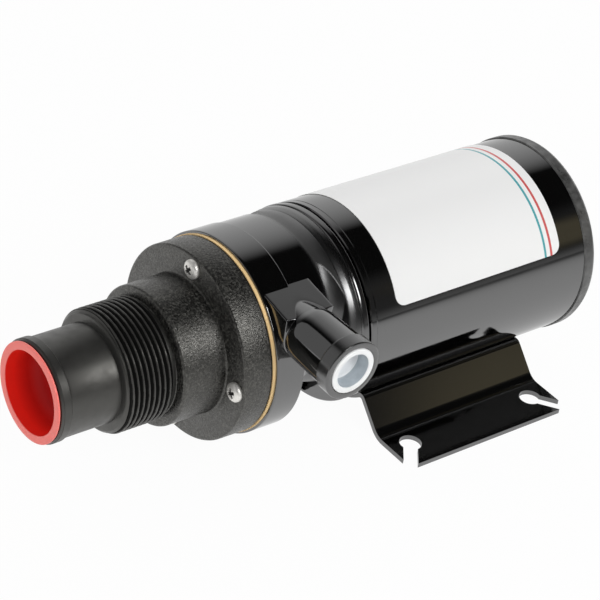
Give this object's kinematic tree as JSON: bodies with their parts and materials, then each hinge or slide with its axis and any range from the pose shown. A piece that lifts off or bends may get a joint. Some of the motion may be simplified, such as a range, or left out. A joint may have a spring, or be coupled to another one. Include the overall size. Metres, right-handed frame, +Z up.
{
  "type": "macerator toilet pump",
  "caption": "In-line macerator waste pump with threaded hose inlet, side hose tail outlet, brass wear plate, cylindrical motor and a slotted sheet bracket.",
  "frame": {"origin": "centre of the bracket's four slots, on the base plane", "axes": "+X along the shaft from the inlet to the motor's rear, +Y away from the outlet, +Z up"},
  "size_m": [0.2436, 0.1268, 0.0848],
  "materials": {
    "red_plastic": "satin soft plastic",
    "housing_plastic": "grained, glass-filled",
    "stainless": "satin",
    "rubber": "matt",
    "brass": "turned edge",
    "gloss_body": "high gloss black",
    "white_plastic": "translucent satin",
    "bronze": "sintered",
    "fibre": "pressed fibre",
    "black_enamel": "gloss enamel",
    "ferrite": "matt",
    "core_steel": "stacked sheet",
    "copper": "varnished",
    "carbon": "matt",
    "cap_finish": "semi-matt",
    "label_film": "satin film"
  },
  "bodies": {
    "pump": {"macerator_housing": "housing_plastic", "housing_screws": "stainless", "front_gasket": "rubber", "wear_plate": "brass", "rear_gasket": "rubber", "pump_body": "gloss_body", "shaft_seal": "rubber", "motor_front_plate": "black_enamel", "front_bush": "bronze", "rear_bush": "bronze", "thrust_washers": "fibre", "motor_can": "black_enamel", "magnets": "ferrite", "brush_plate": "fibre", "brushes": "carbon", "brush_springs": "stainless", "rear_cap": "cap_finish", "through_bolts": "stainless", "lead_grommet": "rubber", "label": "label_film", "mounting_bracket": "black_enamel"},
    "rotor": {"shaft": "stainless", "cutter": "stainless", "cutter_nut": "stainless", "impeller": "rubber", "impeller_hub": "brass", "slinger": "rubber", "armature_core": "core_steel", "armature_winding": "copper", "commutator": "copper"},
    "inlet_plug_body": {"inlet_plug": "red_plastic"},
    "outlet_plug_body": {"outlet_plug": "white_plastic"}
  },
  "joints": [
    {"name": "rotor_spin", "type": "hinge", "parent": "pump", "child": "rotor", "pos_m": [0, 0, 0.0443], "axis": [1, 0, 0], "continuous": true},
    {"name": "inlet_plug_pull", "type": "slide", "parent": "pump", "child": "inlet_plug_body", "axis": [-1, 0, 0], "range_m": [0, 0.03]},
    {"name": "outlet_plug_pull", "type": "slide", "parent": "pump", "child": "outlet_plug_body", "axis": [0, -1, 0], "range_m": [0, 0.025]}
  ]
}
